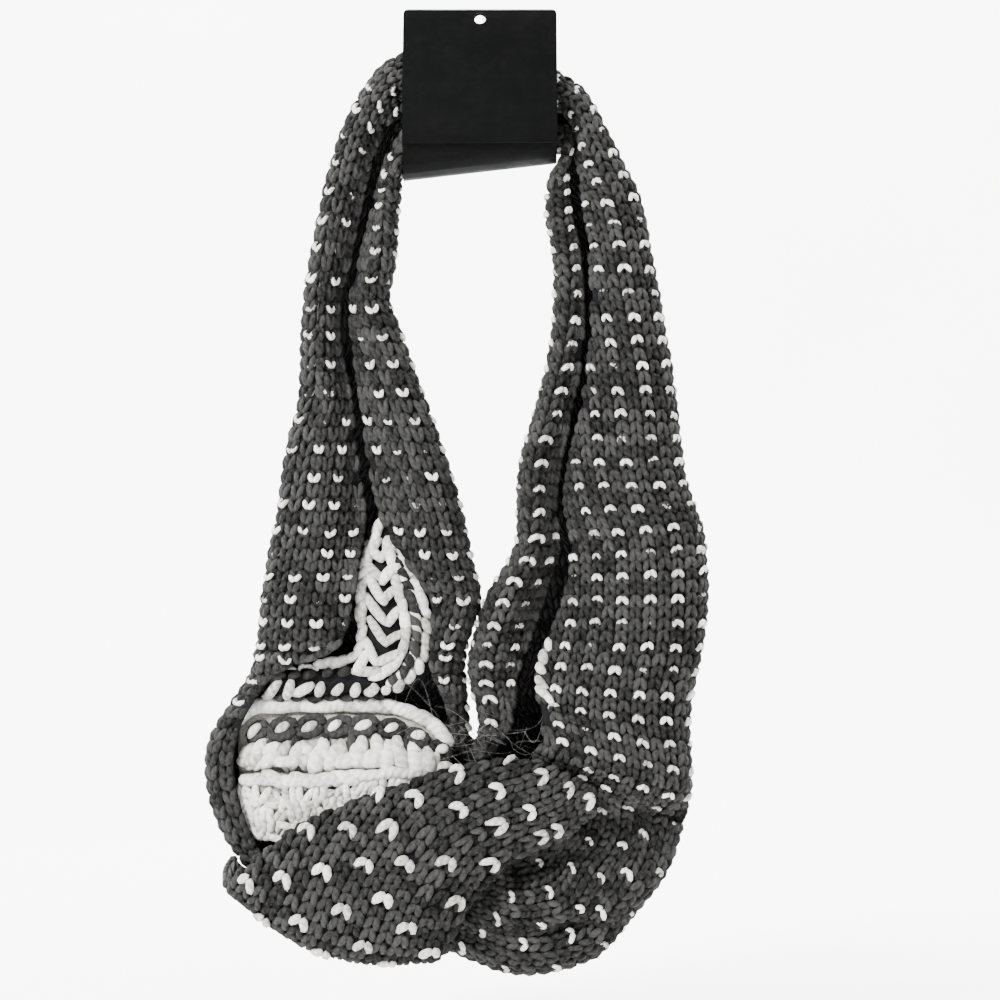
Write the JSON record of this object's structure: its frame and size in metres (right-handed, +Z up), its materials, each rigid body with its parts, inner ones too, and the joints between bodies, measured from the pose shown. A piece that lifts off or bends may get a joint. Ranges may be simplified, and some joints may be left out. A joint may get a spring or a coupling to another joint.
{
  "type": "infinity scarf on a folded hang card",
  "caption": "Chunky two-colour knitted infinity scarf, a closed band folded to a channel, hanging from a plain folded card with a hang hole.",
  "frame": {"origin": "middle of the hang hole near the card's top edge", "axes": "+Z up, -Y towards the viewer of the card's front, +X to that viewer's right"},
  "size_m": [0.3409, 0.1006, 0.655],
  "materials": {
    "knit_face": "chunky charcoal knit with white flecks",
    "knit_reverse": "chunky white knit with charcoal loops",
    "card": "black satin card stock"
  },
  "bodies": {
    "root": {"top_bundle": "knit_face", "left_limb": "knit_face", "bottom_fold": "knit_face", "right_limb": "knit_face", "front_sweep": "knit_face", "inner_fall": "knit_reverse", "inner_swag": "knit_reverse", "hang_card": "card"}
  },
  "joints": []
}
